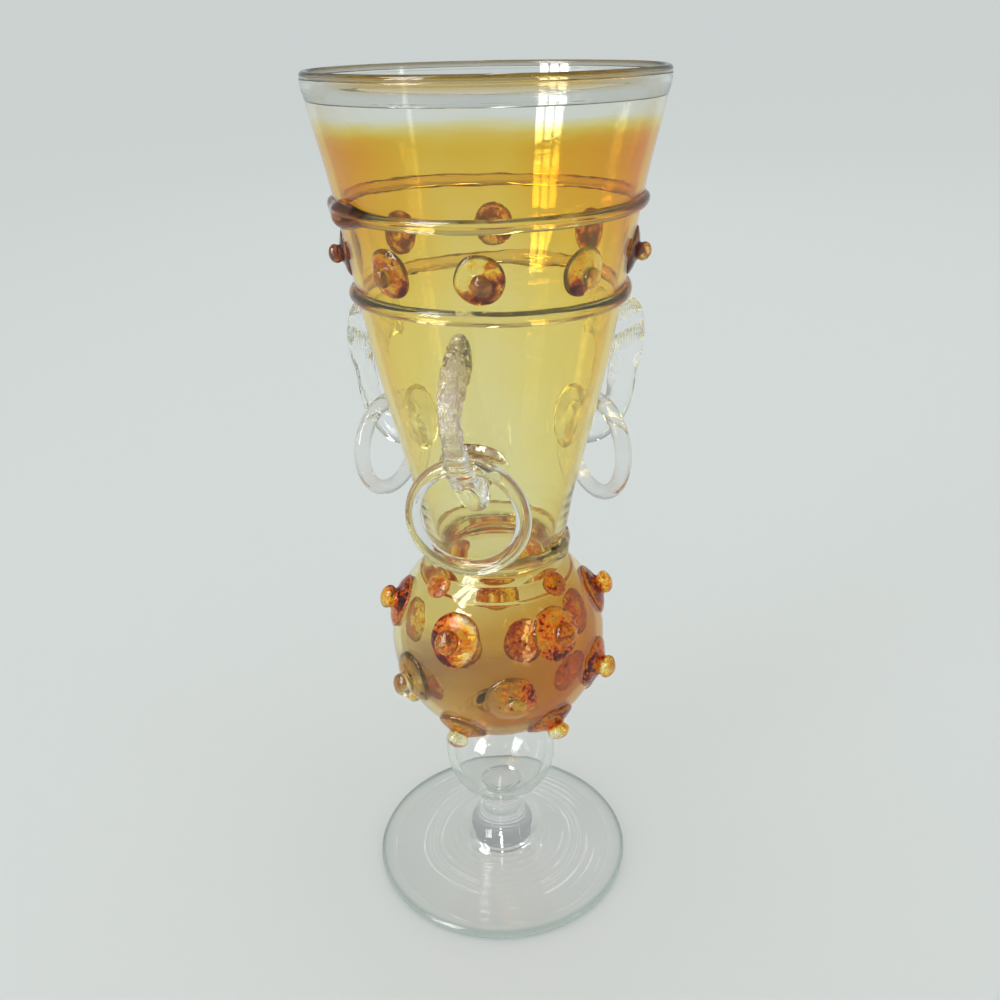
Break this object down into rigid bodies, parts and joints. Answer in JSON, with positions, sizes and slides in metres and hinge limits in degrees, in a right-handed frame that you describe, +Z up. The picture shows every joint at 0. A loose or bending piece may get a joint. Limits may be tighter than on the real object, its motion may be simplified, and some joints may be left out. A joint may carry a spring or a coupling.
{
  "type": "glass chalice",
  "caption": "Tall blown-glass chalice with a spreading foot, hollow ball, prunted bulb, flared bowl, wound trails and handles that each hold a loose glass ring.",
  "frame": {"origin": "under the middle of the foot, on the surface it stands on", "axes": "+Z up along the axis of the vessel; -Y towards the front handle's side; +X to the right seen from the front"},
  "size_m": [0.1112, 0.1142, 0.3],
  "materials": {
    "clear_glass": "fire-polished, faintly grey clear glass",
    "amber_glass": "fire-polished amber glass, clear at the lip",
    "straw_glass": "fire-polished straw-coloured glass",
    "trail_glass": "fire-polished brown-amber glass thread",
    "frit_glass": "clear glass mottled with orange, gold and dark red frit"
  },
  "bodies": {
    "vessel": {"foot": "clear_glass", "ball_knop": "clear_glass", "bulb": "straw_glass", "bowl": "amber_glass", "rim_band": "clear_glass", "waist_trail": "trail_glass", "lower_trail": "trail_glass", "upper_trail": "trail_glass", "bowl_prunt_1": "frit_glass", "bowl_prunt_2": "frit_glass", "bowl_prunt_3": "frit_glass", "bowl_prunt_4": "frit_glass", "bowl_prunt_5": "frit_glass", "bowl_prunt_6": "frit_glass", "bowl_prunt_7": "frit_glass", "bowl_prunt_8": "frit_glass", "shoulder_prunt_1": "frit_glass", "shoulder_prunt_2": "frit_glass", "shoulder_prunt_3": "frit_glass", "shoulder_prunt_4": "frit_glass", "upper_prunt_1": "frit_glass", "upper_prunt_2": "frit_glass", "upper_prunt_3": "frit_glass", "upper_prunt_4": "frit_glass", "upper_prunt_5": "frit_glass", "upper_prunt_6": "frit_glass", "middle_prunt_1": "frit_glass", "middle_prunt_2": "frit_glass", "middle_prunt_3": "frit_glass", "middle_prunt_4": "frit_glass", "middle_prunt_5": "frit_glass", "middle_prunt_6": "frit_glass", "lower_prunt_1": "frit_glass", "lower_prunt_2": "frit_glass", "lower_prunt_3": "frit_glass", "lower_prunt_4": "frit_glass", "lower_prunt_5": "frit_glass", "lower_prunt_6": "frit_glass", "handle_front": "clear_glass", "handle_right": "clear_glass", "handle_left": "clear_glass"},
    "front_ring": {"ring_front": "clear_glass"},
    "right_ring": {"ring_right": "clear_glass"},
    "left_ring": {"ring_left": "clear_glass"}
  },
  "joints": [
    {"name": "front_ring_swing", "type": "hinge", "parent": "vessel", "child": "front_ring", "pos_m": [-0.0086, -0.04225, 0.19032], "axis": [-0.9799, 0.1994, 0], "range_deg": [-18, 138]},
    {"name": "right_ring_swing", "type": "hinge", "parent": "vessel", "child": "right_ring", "pos_m": [0.03725, 0.01939, 0.18873], "axis": [0.4618, -0.887, 0], "range_deg": [-18, 138]},
    {"name": "left_ring_swing", "type": "hinge", "parent": "vessel", "child": "left_ring", "pos_m": [-0.03822, 0.02388, 0.18862], "axis": [0.5299, 0.848, 0], "range_deg": [-18, 138]}
  ]
}
